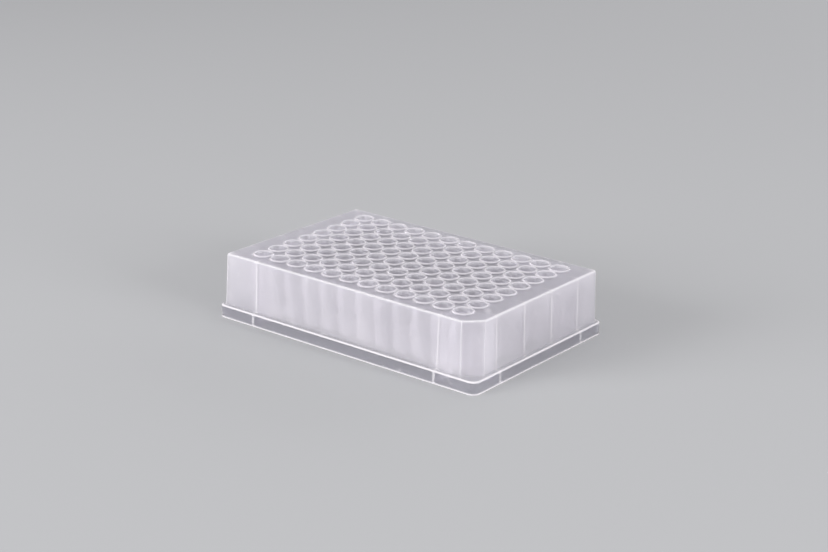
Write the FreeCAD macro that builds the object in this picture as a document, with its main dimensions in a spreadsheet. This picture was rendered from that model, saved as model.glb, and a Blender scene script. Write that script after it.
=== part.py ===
"""A 96-well storage plate: one injection moulding in translucent polypropylene.

The plate stands on the bottom edge of its skirt. The origin is at the middle of
that edge's plane, +X runs along the long side, +Y along the short side and +Z
up out of the wells. All sizes are in millimetres and angles in degrees.
"""
import FreeCAD, Part
import os

import Sketcher

# Every driving size, with a few words on what it is. Each one may be changed by itself.
DIMENSIONS = [
    ("end_offset", 14.38, "from an end of the skirt to the centres of the nearest column of wells"),
    ("side_offset", 11.24, "from a long side of the skirt to the centres of the nearest row of wells"),
    ("deck_height", 26.5, "from the table to the flat top between the well rims"),
    ("rim_rise", 0.5, "how far each well rim stands above the deck"),
    ("wall", 1.2, "thickness of the deck, the side walls, the ledge and the skirt"),
    ("skirt_height", 5.3, "from the table to the top of the ledge"),
    ("skirt_corner", 3.18, "corner radius of the skirt"),
    ("skirt_round", 0.75, "rounding of the skirt's top edge"),
    ("ledge_width", 1.95, "how far the side walls stand in from the skirt at the ledge"),
    ("wall_draft", 1.6, "lean of the side walls, for release from the mould"),
    ("body_corner", 1.0, "corner radius of the side walls"),
    ("ledge_root", 0.3, "rounding of the inner corner between the ledge and the side walls"),
    ("key_corner", 6.3, "leg of the one bevelled corner, which shows which way round the plate is"),
    ("deck_round", 0.6, "rounding of the deck's outer edge"),
    ("columns", 12, "wells along the length"),
    ("rows", 8, "wells across the width"),
    ("well_pitch", 9.0, "centre distance of neighbouring wells"),
    ("well_bore", 7.0, "inside diameter of a well"),
    ("well_lift", 1.7, "clearance from the table to the lowest point of a well"),
    ("point_depth", 2.4, "height of the pointed bottom of a well"),
    ("point_wall", 0.9, "plastic under the point of a well"),
    ("tube_wall", 0.65, "thickness of a well's wall and rim"),
    ("rib_thickness", 0.8, "thickness of the ribs and webs under the deck"),
    ("rib_lift", 0.4, "clearance from the table to the bottom edge of the ribs in the skirt"),
    ("web_height", 9.5, "height of the short webs, from the deck down"),
]

# Places that several features share, each written once as an expression of the sheet's cells.
GRID_LENGTH = "((Sizes.columns - 1) * Sizes.well_pitch)"
GRID_WIDTH = "((Sizes.rows - 1) * Sizes.well_pitch)"
HALF_LENGTH = f"({GRID_LENGTH} / 2 + Sizes.end_offset)"
HALF_WIDTH = f"({GRID_WIDTH} / 2 + Sizes.side_offset)"
BODY_HALF_LENGTH = f"({HALF_LENGTH} - Sizes.ledge_width)"
BODY_HALF_WIDTH = f"({HALF_WIDTH} - Sizes.ledge_width)"
WALL_LEAN = "((Sizes.deck_height - Sizes.skirt_height) * tan(Sizes.wall_draft * 1 deg))"
MID_DECK = "(Sizes.deck_height - Sizes.wall / 2)"
MID_LEDGE = "(Sizes.skirt_height - Sizes.wall / 2)"
RIM_TOP = "(Sizes.deck_height + Sizes.rim_rise)"
WELL_POINT = "(Sizes.well_lift + Sizes.point_wall)"
WELL_SHOULDER = f"({WELL_POINT} + Sizes.point_depth)"

NEAR = 1e-4  # two heights this close are one


def make_sheet(document):
    """The spreadsheet that drives the model: a name, a number and a note in each row."""
    sheet = document.addObject("Spreadsheet::Sheet", "Sizes")
    for row, (alias, value, note) in enumerate(DIMENSIONS, start=1):
        sheet.set(f"A{row}", alias)
        sheet.set(f"B{row}", str(value))
        sheet.set(f"C{row}", note)
        sheet.setAlias(f"B{row}", alias)
    document.recompute()
    return sheet


def origin_feature(body, role):
    """The body's own origin plane or axis with this role."""
    return next(item for item in body.Origin.OriginFeatures if item.Role == role)


def outline_sketch(body, name, plane, corners, offset=None):
    """A closed outline of straight lines through corners, each a pair of expressions (across, up).

    offset gives expressions for how far the sketch stands from its plane's own origin.
    The lines start as a regular polygon, and the bound constraints carry them to their places.
    """
    sketch = body.newObject("Sketcher::SketchObject", name)
    sketch.AttachmentSupport = [(origin_feature(body, plane), "")]
    sketch.MapMode = "FlatFace"
    for axis, expression in (offset or {}).items():
        sketch.setExpression(f"AttachmentOffset.Base.{axis}", expression)
    spots = Part.Circle().discretize(len(corners) + 1)
    for start, end in zip(spots, spots[1:]):
        sketch.addGeometry(Part.LineSegment(start, end))
    for line, (across, up) in enumerate(corners):
        following = (line + 1) % len(corners)
        sketch.addConstraint(Sketcher.Constraint("Coincident", line, 2, following, 1))
        for kind, expression in (("DistanceX", across), ("DistanceY", up)):
            index = sketch.addConstraint(Sketcher.Constraint(kind, -1, 1, line, 1, 1.0))
            sketch.setExpression(f"Constraints[{index}]", expression)
    body.Document.recompute()
    return sketch


def rectangle(half_length, half_width):
    """The corners of a rectangle centred on the sketch's origin."""
    return [
        (f"-{half_length}", f"-{half_width}"),
        (half_length, f"-{half_width}"),
        (half_length, half_width),
        (f"-{half_length}", half_width),
    ]


def add_feature(body, kind, name, sizes=None, **settings):
    """Adds a feature at the body's tip, with plain settings and with sizes bound to expressions."""
    feature = body.newObject(f"PartDesign::{kind}", name)
    for setting, value in settings.items():
        setattr(feature, setting, value)
    for setting, expression in (sizes or {}).items():
        feature.setExpression(setting, expression)
    body.Tip = feature
    body.Document.recompute()
    return feature


def add_mirror(body, name, plane):
    """A mirror in one of the body's planes, for a feature that repeats others."""
    mirror = body.newObject("PartDesign::Mirrored", name)
    mirror.MirrorPlane = (origin_feature(body, plane), [""])
    return mirror


def edge_names(shape, wanted):
    """The names of the shape's edges for which wanted(box) is true of the edge's bounding box."""
    edges = enumerate(shape.Edges, start=1)
    return [f"Edge{number}" for number, edge in edges if wanted(edge.optimalBoundingBox())]


def rises_between(low, high):
    """A test for the edges that run up from one height to the other."""
    return lambda box: abs(box.ZMin - low) < NEAR and abs(box.ZMax - high) < NEAR


def add_skirt_block(body, sheet):
    """The block of the skirt, with its rounded corners."""
    outline = outline_sketch(
        body, "skirt_outline", "XY_Plane",
        rectangle(HALF_LENGTH, HALF_WIDTH),
    )
    block = add_feature(body, "Pad", "skirt_block", {"Length": "Sizes.skirt_height"}, Profile=outline)
    corners = edge_names(block.Shape, rises_between(0, sheet.skirt_height))
    add_feature(body, "Fillet", "skirt_corners", {"Radius": "Sizes.skirt_corner"},
                Base=(block, corners))


def add_body_block(body, sheet):
    """The drafted block that stands on the skirt, with its one bevelled corner."""
    outline = outline_sketch(
        body, "body_outline", "XY_Plane",
        rectangle(BODY_HALF_LENGTH, BODY_HALF_WIDTH), {"z": "Sizes.skirt_height"},
    )
    sizes = {
        "Length": "Sizes.deck_height - Sizes.skirt_height",
        "TaperAngle": "-Sizes.wall_draft * 1 deg",
    }
    block = add_feature(body, "Pad", "body_block", sizes, Profile=outline)
    rises = rises_between(sheet.skirt_height, sheet.deck_height)
    key = edge_names(block.Shape, lambda box: rises(box) and box.XMin > 0 and box.YMax < 0)
    add_feature(body, "Chamfer", "key_bevel", {"Size": "Sizes.key_corner"}, Base=(block, key))


def add_shell(body):
    """Hollows the block from below to one even wall, as a moulding is."""
    block = body.Tip
    faces = enumerate(block.Shape.Faces, start=1)
    bottom = [f"Face{number}" for number, face in faces if face.BoundBox.ZMax < NEAR]
    add_feature(body, "Thickness", "shell", {"Value": "Sizes.wall"}, Base=(block, bottom))


def round_edges(body, sheet):
    """The rounded corners of the side walls, and the rounded edges of the deck, ledge and skirt."""
    shelled = body.Tip
    rises = rises_between(sheet.skirt_height, sheet.deck_height)
    square = edge_names(shelled.Shape, lambda box: rises(box) and (box.XMax < 0 or box.YMin > 0))
    cornered = add_feature(body, "Fillet", "body_corners", {"Radius": "Sizes.body_corner"},
                           Base=(shelled, square))
    deck = edge_names(cornered.Shape, rises_between(sheet.deck_height, sheet.deck_height))
    decked = add_feature(body, "Fillet", "deck_edge", {"Radius": "Sizes.deck_round"},
                         Base=(cornered, deck))
    level = rises_between(sheet.skirt_height, sheet.skirt_height)
    whole = decked.Shape.optimalBoundingBox()
    half_length = whole.XMax - sheet.ledge_width + NEAR
    half_width = whole.YMax - sheet.ledge_width + NEAR

    def beyond_walls(box):
        return max(box.XMax, -box.XMin) > half_length or max(box.YMax, -box.YMin) > half_width

    root = edge_names(decked.Shape, lambda box: level(box) and not beyond_walls(box))
    rooted = add_feature(body, "Fillet", "ledge_inner_corner", {"Radius": "Sizes.ledge_root"},
                         Base=(decked, root))
    skirt = edge_names(rooted.Shape, lambda box: level(box) and beyond_walls(box))
    add_feature(body, "Fillet", "skirt_edge", {"Radius": "Sizes.skirt_round"}, Base=(rooted, skirt))


def wall_rib(inner_end, body_half_size):
    """The outline of a rib from the deck down to the ledge, along the middle of the leaning wall."""
    return [
        (f"{body_half_size} - Sizes.wall / 2", MID_LEDGE),
        (f"{body_half_size} - {WALL_LEAN} - Sizes.wall / 2", MID_DECK),
        (inner_end, MID_DECK),
        (inner_end, MID_LEDGE),
    ]


def skirt_rib(inner_end, body_half_size, half_size):
    """The outline of a rib that goes on below the ledge, down into the skirt."""
    return wall_rib(inner_end, body_half_size)[:3] + [
        (inner_end, "Sizes.rib_lift"),
        (f"{half_size} - Sizes.wall / 2", "Sizes.rib_lift"),
        (f"{half_size} - Sizes.wall / 2", MID_LEDGE),
    ]


def add_rib(body, name, plane, corners, place):
    """A thin upright rib, at each of the four places that mirror one another."""
    outline = outline_sketch(body, f"{name}_outline", plane, corners, {"z": place})
    rib = add_feature(body, "Pad", name, {"Length": "Sizes.rib_thickness"},
                      Profile=outline, SideType="Symmetric")
    mirrors = [add_mirror(body, f"{name}_{mirror[:2]}", mirror) for mirror in ("YZ_Plane", "XZ_Plane")]
    add_feature(body, "MultiTransform", f"{name}s", Originals=[rib], Transformations=mirrors)


def between_wells(end_well, wells_in):
    """The place halfway between two wells, of which the outer is wells_in from the end one."""
    return f"{end_well} - ({wells_in} + 1 / 2) * Sizes.well_pitch"


def add_ribs(body):
    """The ribs that tie the side walls to the outer wells, each halfway between two wells."""
    end_row = f"{GRID_WIDTH} / 2"
    end_column = f"{GRID_LENGTH} / 2"
    add_rib(body, "long_side_rib", "YZ_Plane",
            skirt_rib(end_row, BODY_HALF_WIDTH, HALF_WIDTH),
            between_wells(end_column, 0))
    add_rib(body, "short_side_rib", "XZ_Plane",
            skirt_rib(end_column, BODY_HALF_LENGTH, HALF_LENGTH),
            between_wells(end_row, 0))
    add_rib(body, "short_wall_rib", "XZ_Plane",
            wall_rib(end_column, BODY_HALF_LENGTH),
            between_wells(end_row, 2))


def add_webs(body):
    """The short webs that tie each well of the two outer rows to the long side walls."""
    well_wall = f"{GRID_WIDTH} / 2 + Sizes.well_bore / 2 + Sizes.tube_wall / 2"
    side_wall = f"{BODY_HALF_WIDTH} - {WALL_LEAN} - Sizes.wall / 2"
    foot = "Sizes.deck_height - Sizes.web_height"
    corners = [(well_wall, foot), (side_wall, foot), (side_wall, MID_DECK), (well_wall, MID_DECK)]
    outline = outline_sketch(body, "web_outline", "YZ_Plane", corners, {"z": f"-{GRID_LENGTH} / 2"})
    web = add_feature(body, "Pad", "web", {"Length": "Sizes.rib_thickness"},
                      Profile=outline, SideType="Symmetric")
    row = body.newObject("PartDesign::LinearPattern", "web_row")
    row.Direction = (origin_feature(body, "X_Axis"), [""])
    row.setExpression("Length", GRID_LENGTH)
    row.setExpression("Occurrences", "Sizes.columns")
    add_feature(body, "MultiTransform", "webs", Originals=[web],
                Transformations=[row, add_mirror(body, "web_XZ", "XZ_Plane")])


def add_turned(body, kind, name, corners):
    """A form turned about the axis of the first well, added as a Revolution or cut as a Groove."""
    outline = outline_sketch(body, f"{name}_outline", "XZ_Plane", corners,
                             {"x": f"-{GRID_LENGTH} / 2", "z": f"{GRID_WIDTH} / 2"})
    return add_feature(body, kind, name, Profile=outline, ReferenceAxis=(outline, ["V_Axis"]))


def add_wells(body):
    """The first well, a tube with its hollow turned out of it, and the grid of its repeats."""
    tube_radius = "Sizes.well_bore / 2 + Sizes.tube_wall"
    tube = add_turned(body, "Revolution", "tube", [
        ("0", "Sizes.well_lift"),
        (tube_radius, WELL_SHOULDER),
        (tube_radius, RIM_TOP),
        ("0", RIM_TOP),
    ])
    hollow = add_turned(body, "Groove", "hollow", [
        ("0", WELL_POINT),
        ("Sizes.well_bore / 2", WELL_SHOULDER),
        ("Sizes.well_bore / 2", RIM_TOP),
        ("0", RIM_TOP),
    ])
    sizes = {
        "Length": GRID_LENGTH,
        "Occurrences": "Sizes.columns",
        "Length2": GRID_WIDTH,
        "Occurrences2": "Sizes.rows",
    }
    add_feature(body, "LinearPattern", "wells", sizes, Originals=[tube, hollow],
                Direction=(origin_feature(body, "X_Axis"), [""]),
                Direction2=(origin_feature(body, "Y_Axis"), [""]))


def make_plate(document, sheet):
    """The whole plate, in the order in which its forms build on one another."""
    plate = document.addObject("PartDesign::Body", "well_plate")
    plate.Label = "well_plate"
    add_skirt_block(plate, sheet)
    add_body_block(plate, sheet)
    add_shell(plate)
    round_edges(plate, sheet)
    add_ribs(plate)
    add_webs(plate)
    add_wells(plate)
    return plate


def check(document, plate):
    """Stops if any feature failed, or if the plate is not one sound solid that stands on the table."""
    for item in document.Objects:
        if "Invalid" in item.State or "Error" in item.State:
            raise RuntimeError(f"{item.Label} failed: {item.getStatusString()}")
    if plate.Shape.isNull() or not plate.Shape.isValid():
        raise RuntimeError(f"{plate.Label} has no valid shape")
    if len(plate.Shape.Solids) != 1:
        raise RuntimeError(f"{plate.Label} is {len(plate.Shape.Solids)} solids, not one moulding")


def write(plate):
    """Writes the plate's solid to its STEP file."""
    os.makedirs("parts", exist_ok=True)
    plate.Shape.exportStep(f"parts/{plate.Label}.step")
    box = plate.Shape.optimalBoundingBox()
    print(f"{plate.Label}: {box.XLength:.2f} x {box.YLength:.2f} x {box.ZLength:.2f} mm, "
          f"{plate.Shape.Volume:.0f} cubic mm, {len(plate.Shape.Faces)} faces")


document = FreeCAD.newDocument("well_plate")
sheet = make_sheet(document)
plate = make_plate(document, sheet)
check(document, plate)
write(plate)
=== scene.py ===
"""The looks of a 96-well storage plate: its moulding, its plastic, and a plain studio around it.

The plate's moulding is one closed surface. Each well is a profile turned about its
axis that flows out into a square of the deck, so that the wells tile the deck, and
the sides are one section carried round the plate. Ribs and webs are joined on last.
Sizes are in millimetres until a mesh is made, which is in metres.
"""
import logging
import math
from dataclasses import dataclass, field
from enum import Enum

import bmesh
import bpy
import numpy as np
from mathutils import Matrix, Vector


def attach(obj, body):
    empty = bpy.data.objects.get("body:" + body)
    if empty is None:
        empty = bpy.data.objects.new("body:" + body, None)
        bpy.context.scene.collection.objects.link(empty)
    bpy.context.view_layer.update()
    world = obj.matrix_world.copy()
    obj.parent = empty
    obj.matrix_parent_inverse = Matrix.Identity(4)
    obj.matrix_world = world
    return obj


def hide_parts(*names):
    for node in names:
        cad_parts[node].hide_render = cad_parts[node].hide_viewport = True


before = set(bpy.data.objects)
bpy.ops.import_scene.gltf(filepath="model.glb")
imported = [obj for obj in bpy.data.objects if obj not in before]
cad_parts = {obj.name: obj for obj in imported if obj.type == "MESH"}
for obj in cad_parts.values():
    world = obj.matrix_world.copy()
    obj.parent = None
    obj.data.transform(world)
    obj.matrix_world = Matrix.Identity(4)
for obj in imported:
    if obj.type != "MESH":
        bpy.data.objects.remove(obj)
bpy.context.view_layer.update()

Tree, Socket = bpy.types.NodeTree, bpy.types.NodeSocket
Triple = tuple[float, float, float]  # a colour, a place or three marks

logging.basicConfig(level=logging.INFO, format="%(message)s")
log = logging.getLogger("well_plate")

MM = 0.001
WELD = 1e-4  # points nearer to each other than this, in millimetres, are one
NEAR = 1e-2  # in millimetres, how close to a face a point lies on it
EDGE_LIGHT = "edge"  # the attribute that says how much painted edge light a point gets
MILK = "milk"  # the attribute that says how milky the plastic is where it is seen square on, kept low in the bores as painted shade
BEVEL_TURN = 45  # degrees that the outline turns at each end of the bevel
NOISE_LOW, NOISE_HIGH = 0.3, 0.7  # most of a noise lies between these levels


# ---- surfaces ----

@dataclass
class Surface:
    """A mesh in the making: points in millimetres, and faces of four corners each.

    Each point has a fourth number, its mark: painted light, from 0 on a flat to 1 on an edge, a rim or
    a rib.
    """

    points: np.ndarray
    quads: np.ndarray

    @staticmethod
    def joined(parts: list["Surface"]) -> "Surface":
        """Puts several surfaces into one, without welding them.

        Args:
            parts: the surfaces, in order.

        Returns:
            One surface that holds all their points and faces.
        """
        starts = np.cumsum([0] + [len(part.points) for part in parts[:-1]])
        quads = [part.quads + start for part, start in zip(parts, starts)]
        return Surface(np.concatenate([part.points for part in parts]), np.concatenate(quads))

    def welded(self) -> tuple[np.ndarray, np.ndarray, np.ndarray]:
        """Merges the points that meet.

        A face with two corners on one point becomes a triangle, and one with fewer
        than three corners left is dropped.

        Returns:
            The points, the faces of four corners and the faces of three.
        """
        keys = np.round(self.points[:, :3] / WELD).astype(np.int64)
        _, first, where = np.unique(keys, axis=0, return_index=True, return_inverse=True)
        quads = where.reshape(-1)[self.quads]
        doubled = quads == np.roll(quads, -1, axis=1)
        count = doubled.sum(axis=1)
        three = count == 1
        triangles = quads[three][~doubled[three]].reshape(-1, 3)
        return self.points[first], quads[count == 0], triangles

    def to_object(self, name: str) -> bpy.types.Object:
        """Makes the surface an object at the origin, in metres, with its faces outwards.

        Args:
            name: the name of the object and of its mesh.

        Returns:
            The object.
        """
        points, quads, triangles = self.welded()
        corners = np.concatenate([quads.ravel(), triangles.ravel()]).astype(np.int32)
        sizes = np.repeat((4, 3), (len(quads), len(triangles))).astype(np.int32)
        mesh = bpy.data.meshes.new(name)
        mesh.vertices.add(len(points))
        mesh.vertices.foreach_set("co", (points[:, :3] * MM).astype(np.float32).ravel())
        mesh.loops.add(len(corners))
        mesh.loops.foreach_set("vertex_index", corners)
        mesh.polygons.add(len(sizes))
        mesh.polygons.foreach_set("loop_start", (np.cumsum(sizes) - sizes).astype(np.int32))
        mesh.polygons.foreach_set("loop_total", sizes)
        marks = mesh.attributes.new(EDGE_LIGHT, "FLOAT", "POINT")
        marks.data.foreach_set("value", points[:, 3].astype(np.float32))
        mesh.update(calc_edges=True)
        mesh.validate()
        turn_outwards(mesh)
        return placed(name, mesh)


def placed(name: str, data: bpy.types.ID) -> bpy.types.Object:
    """Adds an object to the scene.

    Args:
        name: its name.
        data: its mesh, lamp or camera.

    Returns:
        The object.
    """
    made = bpy.data.objects.new(name, data)
    bpy.context.scene.collection.objects.link(made)
    return made


def turn_outwards(mesh: bpy.types.Mesh) -> None:
    """Points every face of a closed mesh outwards.

    Args:
        mesh: the mesh to mend, in place.
    """
    made = bmesh.new()
    made.from_mesh(mesh)
    bmesh.ops.recalc_face_normals(made, faces=made.faces)
    made.to_mesh(mesh)
    made.free()


def grid_quads(rows: int, columns: int, closed: bool) -> np.ndarray:
    """The faces of a grid of points that are numbered row by row.

    Args:
        rows: how many rows of points there are.
        columns: how many points each row has.
        closed: whether each row's last point joins its first.

    Returns:
        An array of four point numbers for each face.
    """
    row, column = np.meshgrid(
        np.arange(rows - 1), np.arange(columns if closed else columns - 1), indexing="ij"
    )
    after = (column + 1) % columns
    corners = [row * columns + column, row * columns + after,
               (row + 1) * columns + after, (row + 1) * columns + column]
    return np.stack(corners, axis=-1).reshape(-1, 4)


def arc(centre: tuple[float, float], radius: float, start: float, end: float,
        steps: int) -> np.ndarray:
    """Points on an arc: centre + radius * (cos, sin) of angles spread evenly from start to end.

    Args:
        centre: the arc's middle.
        radius: its radius.
        start: the first angle, in degrees.
        end: the last angle, in degrees.
        steps: how many spaces lie between the points.

    Returns:
        An array of steps + 1 points.
    """
    angles = np.radians(np.linspace(start, end, steps + 1))
    return np.stack([centre[0] + radius * np.cos(angles), centre[1] + radius * np.sin(angles)], axis=1)


def marked(points: np.ndarray, first: float, middle: float, last: float) -> np.ndarray:
    """Adds a column of marks to the points of a section.

    Args:
        points: rows of numbers, in order.
        first: the mark of the first point.
        middle: the mark of the points between.
        last: the mark of the last point.

    Returns:
        The points, with the marks as their last column.
    """
    marks = np.full((len(points), 1), middle)
    marks[0], marks[-1] = first, last
    return np.concatenate([points, marks], axis=1)


# ---- the moulding ----

@dataclass(frozen=True)
class Grid:
    """The grid of wells, centred on the plate."""

    columns: int = 12
    rows: int = 8
    pitch: float = 9.0
    turns: int = 32  # faces round one well, of which an eighth lie on half a side of its square

    @property
    def half_length(self) -> float:
        """Half the length that the wells' squares cover."""
        return self.columns * self.pitch / 2

    @property
    def half_width(self) -> float:
        """Half the width that the wells' squares cover."""
        return self.rows * self.pitch / 2

    def centres(self) -> np.ndarray:
        """The axes of all the wells, as points of the deck's plane."""
        across = (np.arange(self.columns) - (self.columns - 1) / 2) * self.pitch
        along = (np.arange(self.rows) - (self.rows - 1) / 2) * self.pitch
        return np.stack(np.meshgrid(across, along, indexing="ij"), axis=-1).reshape(-1, 2)

    def side(self, cells: int) -> np.ndarray:
        """Where the points of a row of squares lie along its side.

        A point of a square's side is where a ray from the middle, turned by a whole number
        of steps, meets it, so its distance from the middle of the side is half a pitch
        times the tangent of that turn.

        Args:
            cells: how many squares the side has.

        Returns:
            The places, from the middle of the whole side.
        """
        half = self.turns // 8
        angles = np.arange(-half, half) * 2 * math.pi / self.turns
        within = (1 + np.tan(angles)) / 2
        places = (np.arange(cells)[:, None] + within[None, :]).ravel()
        return (np.append(places, cells) - cells / 2) * self.pitch


@dataclass(frozen=True)
class Well:
    """One well: a tube with a pointed bottom, hung from the deck, with a rounded rim on top."""

    bore: float = 7.0
    wall: float = 0.65
    rim_top: float = 27.0
    point: float = 2.6
    point_height: float = 2.4
    point_wall: float = 0.9
    bore_round: float = 0.22
    rim_round: float = 0.27
    foot_round: float = 0.15
    shoulder_round: float = 0.9
    # Painted light: the rounded rim and a band beside it are marked, so they render as bright rings.
    painted_rim_light: float = 0.76
    rim_band: float = 1.8  # how far down the bore the painted rim light reaches
    painted_rim_foot_light: float = 0.72  # painted light of the deck at the foot of the rim
    round_steps: int = 3  # of each rounded edge of the rim, and of the shoulder
    foot_steps: int = 2

    def shoulder(self, radius: float, height: float, rise: float) -> np.ndarray:
        """The rounded turn between the pointed bottom and the straight wall of the tube.

        A smooth blend: a quadratic Bezier curve whose middle control point is the sharp
        shoulder, from a point on the cone to a point on the wall.

        Args:
            radius: the radius of the wall.
            height: how high the sharp shoulder lies.
            rise: how much the cone climbs from its point to the shoulder.

        Returns:
            Points of radius and height, going up.
        """
        share = self.shoulder_round / math.hypot(radius, rise)
        start = np.array([radius * (1 - share), height - rise * share])
        middle = np.array([radius, height])
        end = np.array([radius, height + self.shoulder_round])
        t = np.linspace(0, 1, self.round_steps + 1)[:, None]
        return (1 - t) ** 2 * start + 2 * t * (1 - t) * middle + t ** 2 * end

    def upper_profile(self, deck: float) -> np.ndarray:
        """The section of a well's hollow, from its point over its rim down to the deck.

        Args:
            deck: the height of the deck's top.

        Returns:
            Points of radius, height and mark.
        """
        inner, outer = self.bore / 2, self.bore / 2 + self.wall
        bore_edge = arc((inner + self.bore_round, self.rim_top - self.bore_round),
                        self.bore_round, 180, 90, self.round_steps)
        rim_edge = arc((outer - self.rim_round, self.rim_top - self.rim_round),
                       self.rim_round, 90, 0, self.round_steps)
        rim_foot = arc((outer + self.foot_round, deck + self.foot_round),
                       self.foot_round, 180, 270, self.foot_steps)
        shoulder = self.shoulder(inner, self.point + self.point_height, self.point_height)
        return np.concatenate([
            [(0, self.point, 0)],
            marked(shoulder, 0, 0, 0),
            [(inner, self.rim_top - self.bore_round - self.rim_band, 0)],
            marked(bore_edge, *[self.painted_rim_light] * 3),
            marked(rim_edge, *[self.painted_rim_light] * 3),
            marked(rim_foot, self.painted_rim_light, self.painted_rim_light, self.painted_rim_foot_light),
        ])

    def under_profile(self, underside: float) -> np.ndarray:
        """The section of a tube's outside, from the deck's underside down to its point.

        Args:
            underside: the height of the deck's underside.

        Returns:
            Points of radius, height and mark.
        """
        outer = self.bore / 2 + self.wall
        lowest = self.point - self.point_wall
        turn = self.point + self.point_height
        root = arc((outer + self.foot_round, underside - self.foot_round),
                   self.foot_round, 90, 180, self.foot_steps)
        return np.concatenate([
            marked(root, 0, 0, 0),
            marked(self.shoulder(outer, turn, turn - lowest)[::-1], 0, 0, 0),
            [(0, lowest, 0)],
        ])


def turned_squares(profile: np.ndarray, height: float, grid: Grid, edge_first: bool) -> Surface:
    """Turns a profile about the axis of every well and carries it out to the edge of its square.

    At angle a, a point of the profile of radius r lies at r * (cos a, sin a), and a point
    of the square's edge at half a pitch / max(|cos a|, |sin a|) along the same ray.

    Args:
        profile: points of radius, height and mark, in order.
        height: the height of the square's edge.
        grid: the grid of the wells.
        edge_first: whether the square's edge comes before the profile or after it.

    Returns:
        The surface of all the squares, which meet at their edges.
    """
    angles = np.arange(grid.turns) * 2 * math.pi / grid.turns
    ray = np.stack([np.cos(angles), np.sin(angles)], axis=1)
    reach = grid.pitch / 2 / np.abs(ray).max(axis=1)
    radius, level, mark = np.repeat(profile.T[..., None], grid.turns, axis=2)
    order = -1 if edge_first else 1
    radius = np.concatenate([radius, reach[None]][::order])
    level = np.concatenate([level, np.full((1, grid.turns), height)][::order])
    mark = np.concatenate([mark, np.zeros((1, grid.turns))][::order])
    one = np.concatenate([radius[..., None] * ray, level[..., None], mark[..., None]], axis=2)
    centres = grid.centres()
    shifts = np.concatenate([centres, np.zeros((len(centres), 2))], axis=1)
    points = (one.reshape(1, -1, 4) + shifts[:, None]).reshape(-1, 4)
    quads = grid_quads(len(radius), grid.turns, closed=True)
    starts = np.arange(len(centres)) * radius.size
    return Surface(points, (quads[None] + starts[:, None, None]).reshape(-1, 4))


class CornerForm(Enum):
    """How the outline turns a corner."""

    SQUARE = "square"
    ROUNDED = "rounded"
    BEVELLED = "bevelled"


@dataclass(frozen=True)
class Outline:
    """One closed outline round the plate, at one height of its section."""

    half_length: float
    half_width: float
    height: float
    form: CornerForm
    radius: float = 0.0  # of the corners
    leg: float = 0.0  # of the bevelled corner
    mark: float = 0.0  # painted edge light of its points


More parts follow.
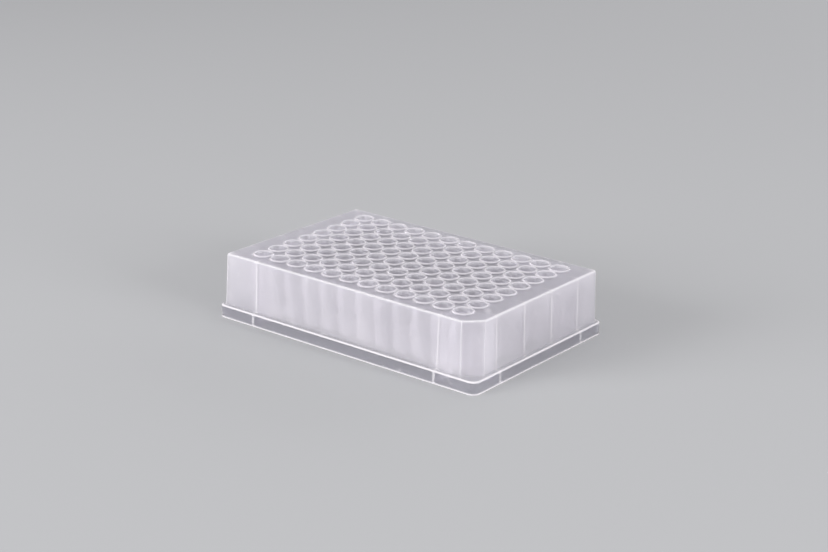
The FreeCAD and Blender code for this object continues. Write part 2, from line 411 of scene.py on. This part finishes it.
@dataclass(frozen=True)
class Shell:
    """The deck's margin, the leaning side walls, the ledge and the skirt, as one section."""

    length: float = 127.76
    width: float = 85.48
    deck: float = 26.5
    wall: float = 1.2
    skirt_height: float = 5.3
    skirt_corner: float = 3.18
    skirt_round: float = 0.75
    ledge_width: float = 1.95
    wall_draft: float = 1.6
    body_corner: float = 1.0
    key_corner: float = 6.3
    deck_round: float = 0.6
    foot_round: float = 0.18
    ledge_fillet: float = 0.3
    under_fillet: float = 0.4
    bevel_round: float = 0.6
    painted_deck_edge_light: float = 0.86  # painted light of the rounded edge of the deck
    painted_ledge_light: float = 0.85  # painted light of the flat of the ledge
    painted_fillet_light: float = 0.6  # painted light between the wall and the ledge
    edge_band: float = 0.4  # how far beside a rounded edge its painted light reaches
    foot_band: float = 0.35  # the same above the foot of the skirt
    corner_steps: int = 9
    round_steps: int = 5  # of the larger roundings of the section
    fillet_steps: int = 3
    painted_corner_light: float = 0.84  # painted light of the upright edges
    tight_corner: float = 1.5  # corners of a larger radius get no painted edge light
    painted_rib_light: float = 0.94  # painted light on a wall where a rib stands behind it
    wall_ribs: tuple[tuple[int, ...], ...] = ((1,), (1, 3))  # wells between a side's end and a rib
    skirt_ribs: tuple[tuple[int, ...], ...] = ((1,), (1,))

    @property
    def underside(self) -> float:
        """The height of the deck's underside."""
        return self.deck - self.wall

    def lean(self, height: float) -> float:
        """How far the side wall has leaned in at a height above the ledge."""
        return (height - self.skirt_height) * math.tan(math.radians(self.wall_draft))

    def at(self, inset: float, height: float, mark: float, radius: float, bevelled: bool) -> Outline:
        """The outline that stands a distance in from the outside of the skirt.

        Args:
            inset: that distance.
            height: the outline's height.
            mark: how much of an edge it is.
            radius: the radius of its corners.
            bevelled: whether the key corner is bevelled at this height.

        Returns:
            The outline, with the bevel of a wall's inside set in square to the outside's.
        """
        outside = self.ledge_width + self.lean(max(height, self.skirt_height))
        leg = self.key_corner - (2 - math.sqrt(2)) * (inset - outside)
        form = CornerForm.BEVELLED if bevelled else CornerForm.ROUNDED
        return Outline(self.length / 2 - inset, self.width / 2 - inset, height, form, radius, leg, mark)

    def along(self, points: np.ndarray, marks: Triple, radius: float, bevelled: bool) -> list[Outline]:
        """The outlines at the points of one rounding of the section.

        Args:
            points: how far in from the outside of the skirt, and how high, each outline is.
            marks: the mark of the first outline, of those between and of the last.
            radius: the radius of their corners.
            bevelled: whether the key corner is bevelled at these heights.

        Returns:
            The outlines, in order.
        """
        return [self.at(inset, height, mark, radius, bevelled)
                for inset, height, mark in marked(points, *marks)]

    def section(self, grid: Grid) -> list[Outline]:
        """The outlines from the grid's edge on the deck, down the outside and up the inside.

        Args:
            grid: the grid of wells that the deck's margin meets.

        Returns:
            The outlines in order, which close the moulding between the two faces of the deck.
        """
        top = self.ledge_width + self.lean(self.deck)
        foot = self.ledge_width
        skirt_top = self.skirt_height
        inner_top = foot + self.wall + self.lean(self.underside)
        under_edge = self.deck - self.deck_round - self.edge_band
        over_foot = self.foot_round + self.foot_band
        outside, skirt = (self.body_corner, True), (self.skirt_corner, False)
        inside, skirt_inside = (self.under_fillet, True), (self.skirt_corner - self.wall, False)
        rounded, fillet = self.round_steps, self.fillet_steps
        return [
            Outline(grid.half_length, grid.half_width, self.deck, CornerForm.SQUARE),
            self.at(top + self.deck_round + self.edge_band, self.deck, 0, *outside),
            *self.along(arc((top + self.deck_round, self.deck - self.deck_round),
                            self.deck_round, 90, 180, rounded), (self.painted_deck_edge_light,) * 3, *outside),
            self.at(foot + self.lean(under_edge), under_edge, 0, *outside),
            *self.along(arc((foot - self.ledge_fillet, skirt_top + self.ledge_fillet),
                            self.ledge_fillet, 0, -90, fillet),
                        (0, self.painted_fillet_light, self.painted_ledge_light), *outside),
            *self.along(arc((self.skirt_round, skirt_top - self.skirt_round),
                            self.skirt_round, 90, 180, rounded), (self.painted_ledge_light, 1, 0), *skirt),
            # The foot of the skirt is marked in full: a painted bright line along it.
            self.at(0.0, over_foot + self.foot_band, 0, *skirt),
            self.at(0.0, over_foot, 1, *skirt),
            *self.along(arc((self.foot_round, self.foot_round), self.foot_round, 180, 270, fillet),
                        (1, 1, 1), *skirt),
            *self.along(arc((self.wall - self.foot_round, self.foot_round),
                            self.foot_round, 270, 360, fillet), (1, 1, 0), *skirt_inside),
            *self.along(arc((self.wall + self.under_fillet, skirt_top - self.wall - self.under_fillet),
                            self.under_fillet, 180, 90, fillet), (0, 0, 0), *skirt_inside),
            *self.along(arc((foot, skirt_top), self.wall, -90, 0, rounded), (0, 0, 0), *inside),
            *self.along(arc((inner_top + self.under_fillet, self.underside - self.under_fillet),
                            self.under_fillet, 180, 90, fillet), (0, 0, 0), *inside),
            Outline(grid.half_length, grid.half_width, self.underside, CornerForm.SQUARE),
        ]

    def corner(self, outline: Outline, is_key: bool) -> np.ndarray:
        """The points of one corner, as offsets in from the sharp corner, from one side to the next.

        A round corner is a quarter circle. A bevelled one is two short arcs, each of an
        eighth of a circle, with the flat of the bevel between them.

        Args:
            outline: the outline that the corner is part of.
            is_key: whether this is the key corner.

        Returns:
            Offsets inwards along the side that is left and along the side that is joined, and marks.
        """
        steps = self.corner_steps
        if outline.form is CornerForm.SQUARE:
            return np.zeros((steps + 1, 3))
        if not (is_key and outline.form is CornerForm.BEVELLED):
            r = outline.radius
            turn = np.radians(np.linspace(0, 90, steps + 1))
            offsets = np.stack([r * (1 - np.sin(turn)), r * (1 - np.cos(turn))], axis=1)
            return marked(offsets, 0, self.painted_corner_light if r <= self.tight_corner else 0, 0)
        r, leg = self.bevel_round, outline.leg
        tangent = r * math.tan(math.radians(BEVEL_TURN / 2))
        turn = np.radians(np.linspace(0, BEVEL_TURN, (steps + 1) // 2))
        first = np.stack([leg + tangent - r * np.sin(turn), r * (1 - np.cos(turn))], axis=1)
        first = marked(first, 0, self.painted_corner_light, 0)
        return np.concatenate([first, first[::-1, (1, 0, 2)]])

    def ring(self, outline: Outline, grid: Grid) -> np.ndarray:
        """The points of one outline, counter-clockwise from the front left corner's end.

        Each side's points keep to the grid's own places, drawn in where its straight run
        is shorter than the grid.

        Args:
            outline: the outline to follow.
            grid: the grid of wells.

        Returns:
            An array of points, the same number for every outline.
        """
        half = np.array([outline.half_length, outline.half_width])
        cells = (grid.columns, grid.rows)
        parts = []
        # Each side: its direction, the direction out of it, and whether the key is at its end or start.
        sides = [((1, 0), (0, -1), "end"), ((0, 1), (1, 0), "start"),
                 ((-1, 0), (0, 1), None), ((0, -1), (-1, 0), None)]
        for along, out, key in sides:
            along, out = np.array(along, float), np.array(out, float)
            axis = int(along[0] == 0)
            starts, turn = self.corner(outline, key == "start"), self.corner(outline, key == "end")
            places = self.squeezed(grid.side(cells[axis]), grid.pitch,
                                   half[axis] - starts[:, 0].max(), half[axis] - turn[:, 0].max())
            straight = places[:, None] * along + half[1 - axis] * out
            marks = self.rib_marks(places, axis, outline.height, grid)
            parts.append(np.column_stack([straight, marks]))
            sharp = half[axis] * along + half[1 - axis] * out
            bend = sharp - turn[:, :1] * along - turn[:, 1:2] * out
            parts.append(np.column_stack([bend, turn[:, 2]]))
        flat = np.concatenate(parts)
        level = np.full(len(flat), outline.height)
        return np.column_stack([flat[:, :2], level, np.maximum(flat[:, 2], outline.mark)])

    @staticmethod
    def squeezed(places: np.ndarray, pitch: float, before: float, after: float) -> np.ndarray:
        """Draws the last squares of a side in, where its straight run is shorter than the grid.

        Args:
            places: the grid's own places along the side, from its middle.
            pitch: the side of a square.
            before: how far the straight run reaches before the middle.
            after: how far it reaches after the middle.

        Returns:
            The places, of which those inside the last squares haven't moved.
        """
        reach = places.max()
        inner = reach - pitch
        end = np.minimum(np.where(places < 0, before, after), reach)
        beyond = np.maximum(np.abs(places) - inner, 0) / pitch
        return np.where(beyond > 0, np.sign(places) * (inner + beyond * (end - inner)), places)

    def rib_marks(self, places: np.ndarray, axis: int, height: float, grid: Grid) -> np.ndarray:
        """Marks the points of a wall behind which a rib stands, with painted light for the rib seen
        through it.

        Args:
            places: the points' places along the side.
            axis: 0 for the long sides and 1 for the short ones.
            height: the height of the outline.
            grid: the grid of wells, between which the ribs stand.

        Returns:
            A mark for each point.
        """
        behind = self.skirt_ribs[axis] if height < self.skirt_height else self.wall_ribs[axis]
        reach = places.max() / grid.pitch
        at_rib = [np.isclose(np.abs(places), (round(reach) - count) * grid.pitch) for count in behind]
        return np.where(np.any(at_rib, axis=0), self.painted_rib_light, 0.0)

    def surface(self, grid: Grid) -> Surface:
        """The section carried round the plate.

        Args:
            grid: the grid of wells that both ends of the section meet.

        Returns:
            The surface, open only where the grid's squares close it.
        """
        rings = [self.ring(outline, grid) for outline in self.section(grid)]
        return Surface(np.concatenate(rings), grid_quads(len(rings), len(rings[0]), closed=True))


@dataclass(frozen=True)
class Brace:
    """A thin upright rib or web, closed all round, which stands across one of the plate's sides."""

    name: str
    across_x: bool  # whether it reaches out along X, to a short side, or along Y, to a long one
    inner: tuple[float, ...]  # how far out its inner edge is, at each height
    outer: tuple[float, ...]  # how far out its outer edge is, at each height
    heights: tuple[float, ...]
    places: tuple[float, ...]  # along the side
    thickness: float
    mark: float  # how much painted light its faces get

    def surface(self, place: float, side: int) -> Surface:
        """One brace: a tube of four corners carried up its heights, with both ends closed.

        Args:
            place: where its middle is along the side.
            side: 1 for the side at +X or +Y, and -1 for the other.

        Returns:
            The closed surface.
        """
        inner, outer, heights = (np.array(row, float) for row in (self.inner, self.outer, self.heights))
        half = self.thickness / 2
        out = np.stack([inner, outer, outer, inner], axis=1) * side
        along = np.broadcast_to(np.array([-half, -half, half, half]) + place, out.shape)
        level = np.broadcast_to(heights[:, None], out.shape)
        flat = (out, along) if self.across_x else (along, out)
        points = np.stack([*flat, level, np.ones_like(level)], axis=-1).reshape(-1, 4)
        last = 4 * (len(heights) - 1)
        ends = np.array([[3, 2, 1, 0], [last, last + 1, last + 2, last + 3]])
        return Surface(points, np.concatenate([grid_quads(len(heights), 4, closed=True), ends]))

    def holds(self, points: np.ndarray) -> np.ndarray:
        """Which points lie on the faces of the brace or of one of its repeats.

        Args:
            points: rows of x, y and z, in millimetres.

        Returns:
            True or False for each point.
        """
        along, out = (points[:, 1], points[:, 0]) if self.across_x else (points[:, 0], points[:, 1])
        level = points[:, 2]
        nearest = np.abs(along[:, None] - np.array(self.places)).min(axis=1)
        on_face = np.abs(nearest - self.thickness / 2) < NEAR
        reach = (np.abs(out) > min(self.inner)) & (np.abs(out) < max(self.outer))
        return on_face & reach & (level > self.heights[0] - NEAR) & (level < self.heights[-1])

    def surfaces(self) -> list[Surface]:
        """Every repeat of the brace, on both sides of the plate."""
        return [self.surface(place, side) for place in self.places for side in (-1, 1)]


@dataclass(frozen=True)
class Bracing:
    """The ribs and webs that tie the outer wells to the side walls and the skirt."""

    lift: float = 0.4
    web_height: float = 9.5
    thickness: float = 0.8
    painted_rib_face_light: float = 0.3  # the painted light of a rib's faces
    sunk: float = 0.2  # how far above the ledge's middle a rib changes over from skirt to wall

    def rib(self, axis: int, count: int, shell: Shell, grid: Grid) -> Brace:
        """A rib, and its repeats, set to the middle of the wall and of the skirt that it joins.

        Args:
            axis: 0 for the long sides and 1 for the short ones.
            count: how many wells lie between an end of the side and the rib.
            shell: the side walls and the skirt.
            grid: the grid of wells.

        Returns:
            The rib, which leaves the skirt free where the shell says so.
        """
        reach, half = ((grid.half_width, shell.width / 2), (grid.half_length, shell.length / 2))[axis]
        place = (grid.half_length, grid.half_width)[axis] - count * grid.pitch
        skirt = half - shell.wall / 2
        wall = half - shell.ledge_width - shell.wall / 2
        mid_ledge = shell.skirt_height - shell.wall / 2
        heights = (self.lift, mid_ledge, mid_ledge + self.sunk, shell.deck - shell.wall / 2)
        outer = (skirt, skirt, wall, wall - shell.lean(shell.deck))
        lowest = 0 if count in shell.skirt_ribs[axis] else 2
        inner = (reach - grid.pitch / 2,) * len(heights)
        return Brace(f"{('long', 'short')[axis]}_side_rib_{count}", bool(axis), inner[lowest:],
                     outer[lowest:], heights[lowest:], (-place, place), self.thickness, self.painted_rib_face_light)

    def web(self, shell: Shell, grid: Grid, well: Well) -> Brace:
        """The webs, one from each tube of the outer rows to the long side wall.

        Args:
            shell: the side walls and the skirt.
            grid: the grid of wells.
            well: the wells, which the webs run into.

        Returns:
            The web.
        """
        heights = (shell.deck - self.web_height, shell.deck - shell.wall / 2)
        wall = shell.width / 2 - shell.ledge_width - shell.wall / 2 - shell.lean(shell.deck)
        tube = grid.half_width - grid.pitch / 2 + well.bore / 2 + well.wall / 2
        columns = tuple((np.arange(grid.columns) - (grid.columns - 1) / 2) * grid.pitch)
        return Brace("web", False, (tube, tube), (wall, wall), heights, columns, self.thickness, 0.0)

    def braces(self, shell: Shell, grid: Grid, well: Well) -> list[Brace]:
        """Every kind of brace.

        Args:
            shell: the side walls and the skirt.
            grid: the grid of wells.
            well: the wells.

        Returns:
            The braces.
        """
        ribs = [self.rib(axis, count, shell, grid)
                for axis, counts in enumerate(shell.wall_ribs) for count in counts]
        return [*ribs, self.web(shell, grid, well)]


# ---- finishes ----

def feed(tree: Tree, socket: Socket, value: object) -> None:
    """Gives an input its value.

    Args:
        tree: the tree that the input is in.
        socket: the input.
        value: a plain value, or the output to link to it.
    """
    if isinstance(value, Socket):
        tree.links.new(value, socket)
    else:
        socket.default_value = value


def node(tree: Tree, kind: str, **values: object) -> bpy.types.Node:
    """Adds a shader node and sets its inputs and properties.

    Args:
        tree: the tree to add it to.
        kind: the node's type, without ShaderNode in front.
        values: inputs by name with _ for spaces, or properties in lower case.

    Returns:
        The node.
    """
    made = tree.nodes.new(f"ShaderNode{kind}")
    for key, value in values.items():
        if key[0].isupper():
            feed(tree, made.inputs[key.replace("_", " ")], value)
        else:
            setattr(made, key, value)
    return made


def noise(tree: Tree, where: Socket, scale: float, detail: float, run: float = 1.0) -> Socket:
    """A field of noise over the object's own space.

    Args:
        tree: the material's tree.
        where: the object coordinates.
        scale: how many patches lie in a metre.
        detail: how many finer layers it has.
        run: how much finer it is up the object than across it.

    Returns:
        The noise, about 0.5 on average.
    """
    place = node(tree, "Mapping", Vector=where, Scale=(1, 1, run)).outputs["Vector"]
    return node(tree, "TexNoise", Vector=place, Scale=scale, Detail=detail).outputs["Fac"]


def maths(tree: Tree, operation: str, *values: Socket | float) -> Socket:
    """One step of arithmetic on varying values.

    Args:
        tree: the material's tree.
        operation: the step, by its name in the node.
        values: sockets or plain numbers, in order.

    Returns:
        The result.
    """
    made = node(tree, "Math", operation=operation)
    for socket, value in zip(made.inputs, values):
        feed(tree, socket, value)
    return made.outputs["Value"]


def ranged(tree: Tree, value: Socket, low: float, high: float, start: float = 0.0,
           end: float = 1.0) -> Socket:
    """Carries a varying value from one range to another.

    Args:
        tree: the material's tree.
        value: the value.
        low: what start becomes.
        high: what end becomes.
        start: the first end of the value's range.
        end: the last end of it.

    Returns:
        The new value.
    """
    return node(tree, "MapRange", Value=value, From_Min=start, From_Max=end,
                To_Min=low, To_Max=high).outputs["Result"]


def mixed(tree: Tree, share: Socket, first: Triple, last: Triple) -> Socket:
    """A colour between two others.

    Args:
        tree: the material's tree.
        share: how far it is from the first to the last, from 0 to 1.
        first: the first colour.
        last: the last colour.

    Returns:
        The colour.
    """
    made = node(tree, "Mix", data_type="RGBA")
    values = {"Factor_Float": share, "A_Color": (*first, 1), "B_Color": (*last, 1)}
    for socket in made.inputs:
        if socket.identifier in values:
            feed(tree, socket, values[socket.identifier])
    return next(socket for socket in made.outputs if socket.identifier == "Result_Color")


def blended(tree: Tree, share: Socket, first: bpy.types.Node, last: bpy.types.Node) -> bpy.types.Node:
    """A mix of two shaders.

    Args:
        tree: the material's tree.
        share: how much of the last shader there is, from 0 to 1.
        first: the first shader's node.
        last: the last shader's node.

    Returns:
        The node of the mix.
    """
    made = node(tree, "MixShader")
    for socket, value in zip(made.inputs, (share, first.outputs[0], last.outputs[0])):
        feed(tree, socket, value)
    return made


@dataclass(frozen=True)
class NaturalPolypropylene:
    """Natural polypropylene as it comes from the mould: milky, waxy and half clear.

    A face is partly clear, so that what lies behind it shows through, and partly milk, which
    scatters light back and through. It is milkier where it is seen edge on, where light has
    further to go in the plastic. Along edges, rims and ribs the milk is raised as painted light,
    which draws them as bright lines.
    """

    name: str = "natural_polypropylene"
    clear_colour: Triple = (0.72, 0.72, 0.77)
    milk_colour: Triple = (0.985, 0.955, 0.975)
    glow_colour: Triple = (0.97, 0.955, 0.985)
    paling: float = 0.5  # how soon the colour grows pale as milk thickens
    index: float = 1.15  # low for the plastic, because each thin wall is two faces close together
    highlight: float = 0.7  # brings the index's weak reflection back up to the plastic's own
    coat: float = 0.35
    coat_roughness: float = 0.12
    roughness: float = 0.36
    roughness_spread: float = 0.03  # to either side, in streaks of its own
    roughness_size: float = 450.0  # these streaks to the metre
    roughness_run: float = 0.05
    painted_edge_light: float = 0.95  # share of milk along the marked edges: painted light that draws them as bright lines
    edge_falloff: float = 3.0  # how fast the painted edge light drops beside them
    grazing: float = 9.0  # how late the milk thickens as a face turns away
    glow: float = 0.6  # how much of the milk lets light through rather than back
    painted_edge_glow: float = 0.4  # the same along the marked edges, kept lower so that they reflect more: part of the painted edge light
    lamp_light: float = 0.8  # how much of the lamps' light passes each face
    cloud_size: float = 70.0  # patches to the metre
    cloud_depth: float = 0.12
    drag_size: float = 900.0  # streaks to the metre, along the way out of the mould
    drag_depth: float = 0.03
    drag_run: float = 0.04  # how long a streak is: the share of its fineness kept along it
    fleck_size: float = 260.0  # sparse paler flecks, where the plastic has been rubbed
    fleck_start: float = 0.66  # the level of their noise above which they show
    fleck_milk: float = 0.9
    grain_size: float = 2600.0
    grain_depth: float = 0.05
    grain_height: float = 0.0002  # in metres

    def milk_and_painted_edge_light(self, tree: Tree, where: Socket, edge: Socket) -> Socket:
        """The share of milk over the surface, raised along the marked edges as painted light.

        Args:
            tree: the material's tree.
            where: the object coordinates.
            edge: how much painted edge light the surface gets.

        Returns:
            The share, from 0 to 1.
        """
        turned = node(tree, "LayerWeight").outputs["Facing"]
        late = maths(tree, "POWER", turned, self.grazing)
        square_on = node(tree, "Attribute", attribute_name=MILK).outputs["Fac"]
        plain = maths(tree, "MAXIMUM", square_on, late)
        clouds = ranged(tree, noise(tree, where, self.cloud_size, detail=3),
                        1 - self.cloud_depth, 1 + self.cloud_depth, NOISE_LOW, NOISE_HIGH)
        drag = ranged(tree, noise(tree, where, self.drag_size, detail=1, run=self.drag_run),
                      -self.drag_depth, self.drag_depth, NOISE_LOW, NOISE_HIGH)
        uneven = maths(tree, "ADD", clouds, drag)
        flecks = ranged(tree, noise(tree, where, self.fleck_size, detail=2),
                        0, self.fleck_milk, self.fleck_start, 1)
        body = maths(tree, "ADD", maths(tree, "MULTIPLY", plain, uneven), flecks)
        # Painted light: along the marked edges, rims and ribs the milk is raised, which draws them as
        # bright lines.
        edges = maths(tree, "MULTIPLY", edge, self.painted_edge_light)
        return maths(tree, "MAXIMUM", body, edges)

    def material(self) -> bpy.types.Material:
        """Builds the material.

        Returns:
            The material: a Principled shader, part of it let through by a Translucent one, and
            a Transparent one that only the lamps' light sees.
        """
        made = bpy.data.materials.new(self.name)
        made.use_nodes = True
        tree = made.node_tree
        tree.nodes.clear()
        where = node(tree, "TexCoord").outputs["Object"]
        mark = node(tree, "Attribute", attribute_name=EDGE_LIGHT).outputs["Fac"]
        # The marks paint bright lines of light on edges, rims and ribs, through the milk and the glow
        # below.
        edge = maths(tree, "POWER", mark, self.edge_falloff)
        milk = self.milk_and_painted_edge_light(tree, where, edge)

        pale = maths(tree, "POWER", milk, self.paling)
        streaks = noise(tree, where, self.roughness_size, detail=2, run=self.roughness_run)
        grain = noise(tree, where, self.grain_size, detail=2)
        bump = node(tree, "Bump", Strength=self.grain_depth, Distance=self.grain_height, Height=grain)
        plastic = node(
            tree, "BsdfPrincipled", IOR=self.index, Specular_IOR_Level=self.highlight,
            Coat_Weight=self.coat, Coat_Roughness=self.coat_roughness,
            Base_Color=mixed(tree, pale, self.clear_colour, self.milk_colour),
            Transmission_Weight=maths(tree, "SUBTRACT", 1.0, milk),
            Roughness=ranged(tree, streaks, self.roughness - self.roughness_spread,
                             self.roughness + self.roughness_spread, NOISE_LOW, NOISE_HIGH),
            Normal=bump.outputs["Normal"],
        )
        glow = node(tree, "BsdfTranslucent", Color=(*self.glow_colour, 1))
        through = maths(tree, "MULTIPLY", milk, ranged(tree, edge, self.glow, self.painted_edge_glow))
        body = blended(tree, through, plastic, glow)
        to_lamp = node(tree, "LightPath").outputs["Is Shadow Ray"]
        lit = maths(tree, "MULTIPLY", to_lamp, self.lamp_light)
        node(tree, "OutputMaterial",
             Surface=blended(tree, lit, body, node(tree, "BsdfTransparent")).outputs[0])
        return made


# ---- the plate ----

@dataclass
class WellPlate:
    """The whole moulding."""

    grid: Grid = field(default_factory=Grid)
    well: Well = field(default_factory=Well)
    shell: Shell = field(default_factory=Shell)
    bracing: Bracing = field(default_factory=Bracing)
    finish: NaturalPolypropylene = field(default_factory=NaturalPolypropylene)
    sharp: float = 35.0  # edges that turn by more degrees than this stay crisp
    wall_milk: float = 0.22  # share of milk in the side walls, seen square on
    deck_milk: float = 0.045
    skirt_milk: float = 0.03
    tube_milk: float = 0.6  # on the outside of the tubes, between which light goes to and fro
    # Painted shade: the inside of each well gets little milk, so that it renders darker than the
    # outside of the same tube.
    bore_painted_shade_milk: float = 0.1
    point_milk: float = 0.4  # inside the thicker pointed bottom of a well

    def moulding(self) -> Surface:
        """The closed surface of the deck, wells, walls and skirt."""
        return Surface.joined([
            turned_squares(self.well.upper_profile(self.shell.deck), self.shell.deck,
                           self.grid, edge_first=False),
            self.shell.surface(self.grid),
            turned_squares(self.well.under_profile(self.shell.underside), self.shell.underside,
                           self.grid, edge_first=True),
        ])

    def build(self) -> bpy.types.Object:
        """Makes the plate and joins its braces on.

        Returns:
            The plate's object.
        """
        plate = self.moulding().to_object("plate_moulding")
        kinds = {brace.name: brace.surfaces()
                 for brace in self.bracing.braces(self.shell, self.grid, self.well)}
        for name, repeats in kinds.items():
            log.info("%s: %d", name, len(repeats))
        braces = Surface.joined(sum(kinds.values(), [])).to_object("braces")
        union = plate.modifiers.new("braces", "BOOLEAN")
        union.operation = "UNION"
        union.solver = "MANIFOLD"
        union.object = braces
        joined = bpy.data.meshes.new_from_object(
            plate.evaluated_get(bpy.context.evaluated_depsgraph_get()))
        plate.modifiers.clear()
        plate.data = joined
        joined.name = plate.name
        self.mark(joined)
        bpy.data.objects.remove(braces)
        joined.shade_smooth()
        joined.set_sharp_from_angle(angle=math.radians(self.sharp))
        weighted = plate.modifiers.new("even_shading", "WEIGHTED_NORMAL")
        weighted.keep_sharp = True
        return plate

    def mark(self, mesh: bpy.types.Mesh) -> None:
        """Marks the points of the ribs with their painted light, and gives every point its milk.

        Args:
            mesh: the joined moulding, whose other marks are kept.
        """
        points = np.empty(3 * len(mesh.vertices), np.float32)
        mesh.vertices.foreach_get("co", points)
        points = points.reshape(-1, 3) / MM
        edges = np.empty(len(points), np.float32)
        mesh.attributes[EDGE_LIGHT].data.foreach_get("value", edges)
        for brace in self.bracing.braces(self.shell, self.grid, self.well):
            edges[brace.holds(points)] = brace.mark
        mesh.attributes[EDGE_LIGHT].data.foreach_set("value", edges)
        milk = self.milk(points).astype(np.float32)
        mesh.attributes.new(MILK, "FLOAT", "POINT").data.foreach_set("value", milk)

    def milk(self, points: np.ndarray) -> np.ndarray:
        """How milky the plastic is at each point, with painted shade in the bores.

        Args:
            points: rows of x, y and z, in millimetres.

        Returns:
            The share of milk, seen square on.
        """
        size = np.array([self.grid.columns, self.grid.rows])
        cell = points[:, :2] / self.grid.pitch + size / 2
        from_axis = np.hypot(*((cell % 1 - 0.5) * self.grid.pitch).T)
        on_grid = np.all((cell > 0) & (cell < size), axis=1)
        height = points[:, 2]
        well = self.well
        below = height < self.shell.underside - well.foot_round - NEAR
        under_rim = height < well.rim_top - well.bore_round - NEAR
        in_bore = on_grid & under_rim & (from_axis < well.bore / 2 + NEAR)
        in_point = in_bore & (height > well.point - NEAR) & (height < well.point + well.point_height)
        on_tube = on_grid & (from_axis < well.bore / 2 + well.wall + NEAR) & below & ~in_bore
        milk = np.where(height < self.shell.skirt_height - NEAR, self.skirt_milk, self.wall_milk)
        milk = np.where(height > self.shell.deck - NEAR, self.deck_milk, milk)
        milk = np.where(on_tube, self.tube_milk, milk)
        # painted shade: the bores are made clearer, and so darker
        milk = np.where(in_bore, self.bore_painted_shade_milk, milk)
        return np.where(in_point, self.point_milk, milk)

    def dress(self, plate: bpy.types.Object) -> None:
        """Gives the plate its finish and its place in the frame.

        Args:
            plate: the object that build() made.
        """
        plate.data.materials.clear()
        plate.data.materials.append(self.finish.material())
        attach(plate, "root")
        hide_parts("well_plate")


# ---- studio ----

@dataclass(frozen=True)
class Lamp:
    """A wide soft lamp aimed at the plate."""

    name: str
    place: Triple  # in metres
    width: float
    height: float
    watts: float
    mirrored: bool = False  # whether glossy and see-through faces show it, which whitens a low view

    def build(self) -> bpy.types.Object:
        """Makes the lamp.

        Returns:
            The lamp's object.
        """
        data = bpy.data.lights.new(self.name, "AREA")
        data.shape = "RECTANGLE"
        data.size, data.size_y = self.width, self.height
        data.energy = self.watts
        made = placed(self.name, data)
        made.location = self.place
        made.visible_glossy = self.mirrored
        made.visible_transmission = self.mirrored
        made.rotation_euler = (-Vector(self.place)).to_track_quat("-Z", "Y").to_euler()
        return made


@dataclass(frozen=True)
class Studio:
    """A pale floor, a pale surround and soft lamps."""

    floor_half: float = 6.0
    floor_colour: Triple = (0.46, 0.465, 0.475)
    floor_roughness: float = 0.9
    surround: Triple = (0.65, 0.64, 0.655)
    surround_strength: float = 0.72
    lamps: tuple[Lamp, ...] = (
        Lamp("overhead", (0.0, 0.2, 1.6), 0.6, 0.6, 6.0, mirrored=True),
        Lamp("left", (-0.8, -1.4, 0.4), 0.8, 0.7, 29.0),
        Lamp("right", (1.5, 0.0, 0.4), 0.7, 0.6, 15.5),
        Lamp("back", (0.1, 1.6, 0.4), 1.4, 0.6, 6.5),
    )

    def floor(self) -> bpy.types.Object:
        """A large flat square that the plate stands on.

        Returns:
            The floor's object.
        """
        half = self.floor_half
        corners = [(-half, -half, 0), (half, -half, 0), (half, half, 0), (-half, half, 0)]
        mesh = bpy.data.meshes.new("floor")
        mesh.from_pydata(corners, [], [(0, 1, 2, 3)])
        made = placed("floor", mesh)
        finish = bpy.data.materials.new("pale_floor")
        finish.use_nodes = True
        shader = finish.node_tree.nodes["Principled BSDF"]
        shader.inputs["Base Color"].default_value = (*self.floor_colour, 1)
        shader.inputs["Roughness"].default_value = self.floor_roughness
        shader.inputs["Specular IOR Level"].default_value = 0.0
        mesh.materials.append(finish)
        return made

    def build(self) -> None:
        """Makes the floor, the surround and the lamps."""
        floor = self.floor()
        log.info("%s: %.0f m across", floor.name, 2 * self.floor_half)
        world = bpy.data.worlds.new("surround")
        world.use_nodes = True
        background = world.node_tree.nodes["Background"]
        background.inputs["Color"].default_value = (*self.surround, 1)
        background.inputs["Strength"].default_value = self.surround_strength
        bpy.context.scene.world = world
        for lamp in self.lamps:
            lamp.build()
            log.info("%s lamp: %.1f W", lamp.name, lamp.watts)


@dataclass(frozen=True)
class PlateCamera:
    """A camera that looks down across the key corner of the plate."""

    azimuth: float = 37.71147  # degrees round the plate, from -Y towards +X
    elevation: float = 19.23742  # degrees up from level
    roll: float = 1.17115  # degrees
    distance: float = 711.277  # in millimetres, from the plate's origin
    right: float = -0.219778  # where that origin falls from the sensor's middle, in millimetres
    up: float = -2.096313
    focal: float = 77.365  # of the lens, in millimetres
    sensor: float = 36.0
    nearest: float = 0.01  # what lies nearer than this, in metres, isn't seen
    farthest: float = 50.0

    def build(self) -> bpy.types.Object:
        """Makes the camera and hands it to the scene.

        The plate's origin is distance away, and the camera is slid sideways until it falls
        at its place on the sensor.

        Returns:
            The camera's object.
        """
        a, e, r = (math.radians(value) for value in (self.azimuth, self.elevation, self.roll))
        back = Vector((math.sin(a) * math.cos(e), -math.cos(a) * math.cos(e), math.sin(e)))
        side = Vector((0, 0, 1)).cross(back).normalized()
        rise = back.cross(side)
        across = math.cos(r) * side + math.sin(r) * rise
        upright = -math.sin(r) * side + math.cos(r) * rise
        slide = self.distance / self.focal
        place = (back * self.distance - across * self.right * slide - upright * self.up * slide) * MM
        data = bpy.data.cameras.new("camera")
        data.sensor_width = self.sensor
        data.lens = self.focal
        data.clip_start, data.clip_end = self.nearest, self.farthest
        made = placed("camera", data)
        made.matrix_world = Matrix((*zip(across, upright, back, place), (0, 0, 0, 1)))
        bpy.context.scene.camera = made
        return made


def main() -> None:
    """Builds the plate, the studio and the camera, and reports them."""
    bpy.context.scene.view_settings.view_transform = "Standard"
    maker = WellPlate()
    plate = maker.build()
    maker.dress(plate)
    log.info("%s: %d faces", plate.name, len(plate.data.polygons))
    Studio().build()
    camera = PlateCamera().build()
    log.info("%s: %.1f mm lens", camera.name, camera.data.lens)


if __name__ == "__main__":
    main()
